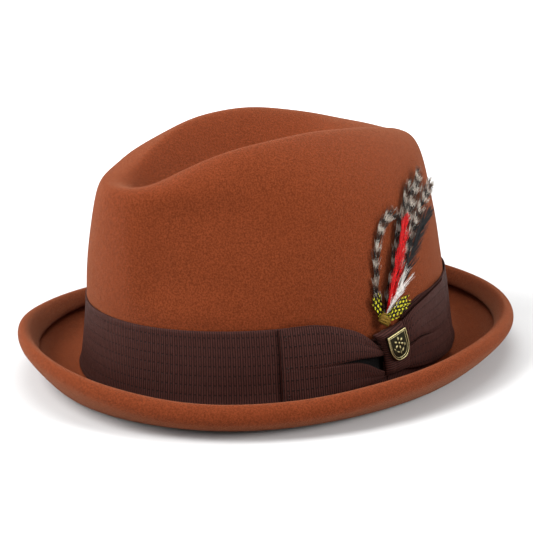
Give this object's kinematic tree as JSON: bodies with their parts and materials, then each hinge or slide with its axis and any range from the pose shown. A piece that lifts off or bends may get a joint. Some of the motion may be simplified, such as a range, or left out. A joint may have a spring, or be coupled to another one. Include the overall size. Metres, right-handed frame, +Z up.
{
  "type": "fedora hat",
  "caption": "Felt fedora with a teardrop crown, short upturned brim, ribbon band with side bow and shield badge, and a feather trim that pulls out of the bow.",
  "frame": {"origin": "centre of the brim's underside, on the surface the hat stands on", "axes": "+Z up, the front of the hat towards -Y, the wearer's left, with the bow and feathers, towards +X"},
  "size_m": [0.2308, 0.2668, 0.1231],
  "materials": {
    "felt": "cinnamon wool felt, short brushed nap",
    "grosgrain": "dark brown ribbed ribbon with woven dashed lines",
    "brown_thread": "twisted sewing thread",
    "antique_brass": "antique brass, dark in the recesses",
    "sweat_leather": "brown leather, fine grain",
    "reed_cloth": "cloth-covered cord",
    "pale_thread": "tan sewing thread",
    "label_cloth": "plain woven label, blank",
    "satin": "brown satin, soft sheen",
    "card": "stiff dark card",
    "binding_thread": "golden-brown waxed thread",
    "grizzly_feather": "barred grey-white and black hackle",
    "black_feather": "black hackle with a faint teal sheen",
    "red_feather": "bright red hackle",
    "white_feather": "white hackle wisps",
    "guinea_feather": "black-brown with yellow dots"
  },
  "bodies": {
    "hat": {"felt_body": "felt", "hatband_ribbon": "grosgrain", "bow_front_loop": "grosgrain", "bow_back_loop": "grosgrain", "bow_knot": "grosgrain", "bow_tacks": "brown_thread", "badge_shield": "antique_brass", "badge_rosette": "antique_brass", "badge_pins": "antique_brass", "sweatband": "sweat_leather", "sweatband_reed": "reed_cloth", "sweatband_stitching": "pale_thread", "sweatband_bow": "grosgrain", "size_label": "label_cloth", "lining_side": "satin", "lining_tip": "satin"},
    "feather_trim": {"feather_tab": "card", "quill_binding": "binding_thread", "grizzly_hackle_front": "grizzly_feather", "grizzly_hackle_middle": "grizzly_feather", "grizzly_hackle_top": "grizzly_feather", "grizzly_hackle_back": "grizzly_feather", "black_hackle": "black_feather", "red_hackle": "red_feather", "white_hackle": "white_feather", "guinea_feather_upper": "guinea_feather", "guinea_feather_lower": "guinea_feather"}
  },
  "joints": [
    {"name": "feather_slide", "type": "slide", "parent": "hat", "child": "feather_trim", "axis": [-0.1386, 0, 0.9903], "range_m": [0, 0.03]}
  ]
}
